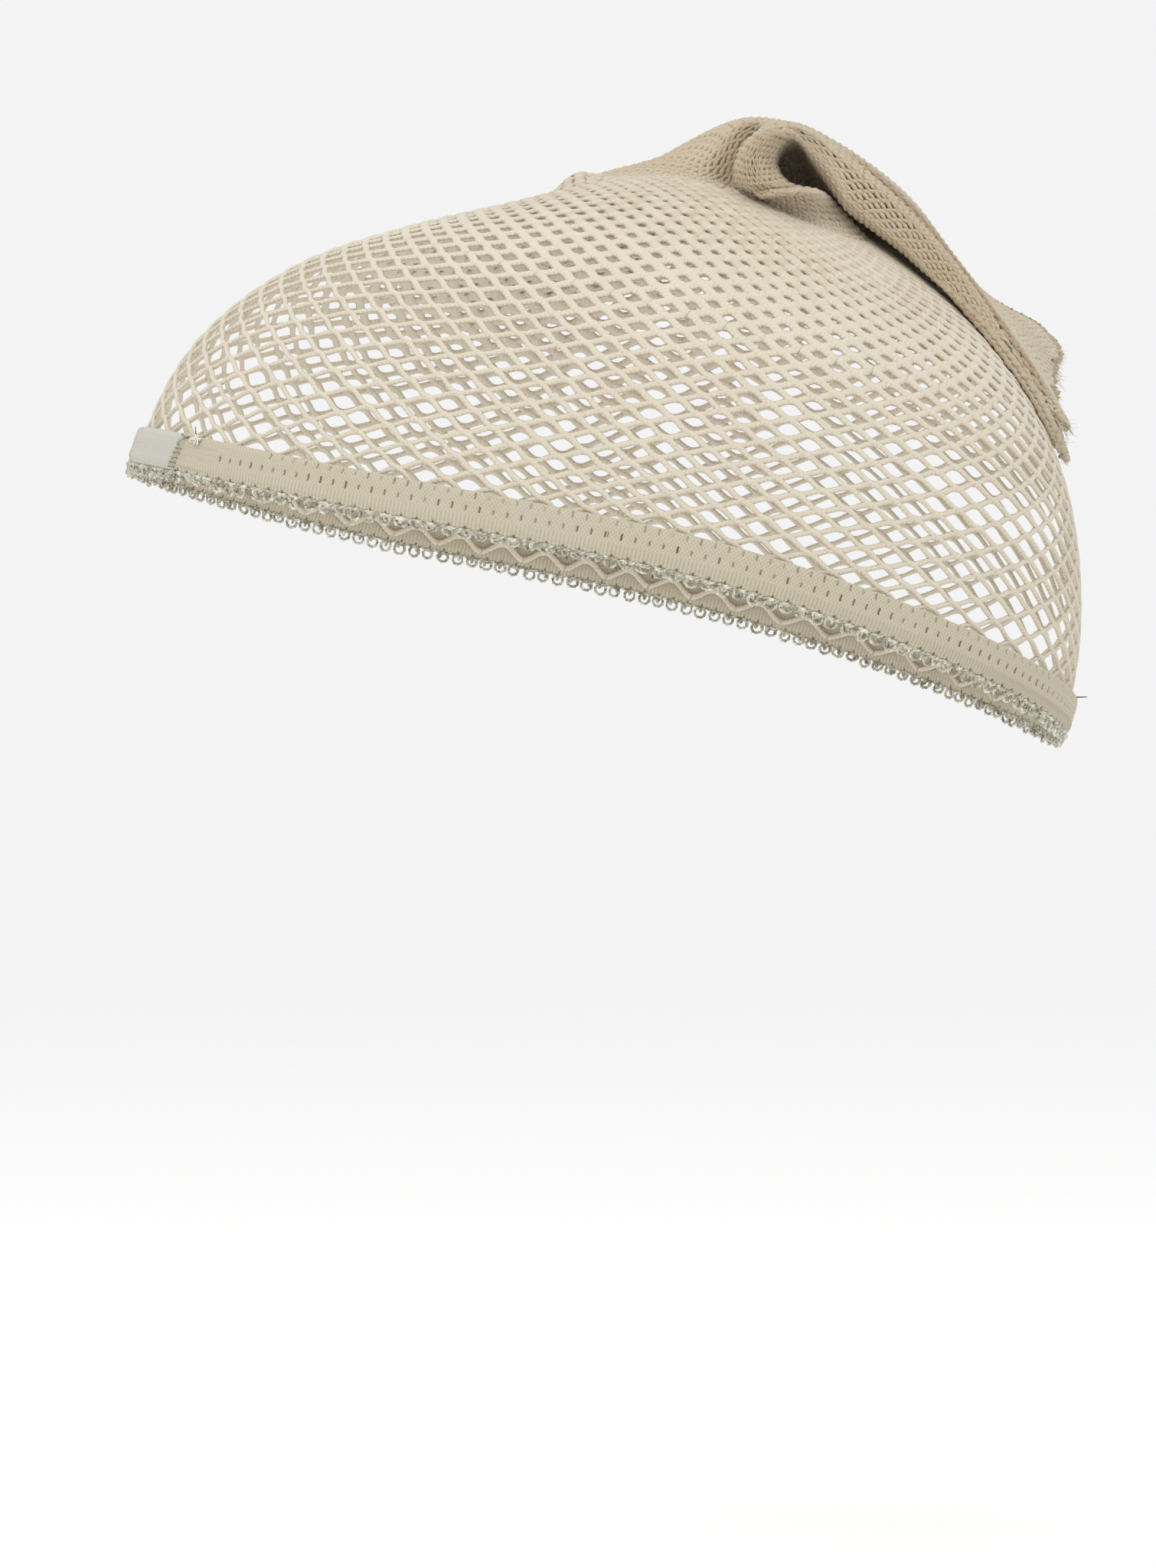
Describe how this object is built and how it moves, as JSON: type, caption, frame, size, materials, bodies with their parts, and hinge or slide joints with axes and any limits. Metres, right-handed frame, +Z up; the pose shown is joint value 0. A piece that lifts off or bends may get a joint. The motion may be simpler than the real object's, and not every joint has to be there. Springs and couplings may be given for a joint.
{
  "type": "wig cap",
  "caption": "Knitted net wig cap with an elastic picot-edged band, its open-ended tube gathered at the crown and laid back as a tail.",
  "frame": {"origin": "middle of the ring that the elastic band makes, inside the open head hollow", "axes": "-Y to the wearer's front, +X to the wearer's left, +Z up to the crown"},
  "size_m": [0.1536, 0.1947, 0.1285],
  "materials": {
    "net_cap": "matt fuzzy knitted cord",
    "elastic_band": "matt ribbed woven elastic",
    "picot_edge": "slightly shiny twisted yarn"
  },
  "bodies": {
    "root": {"net_cap": "net_cap", "elastic_band": "elastic_band", "picot_edge": "picot_edge"}
  },
  "joints": []
}
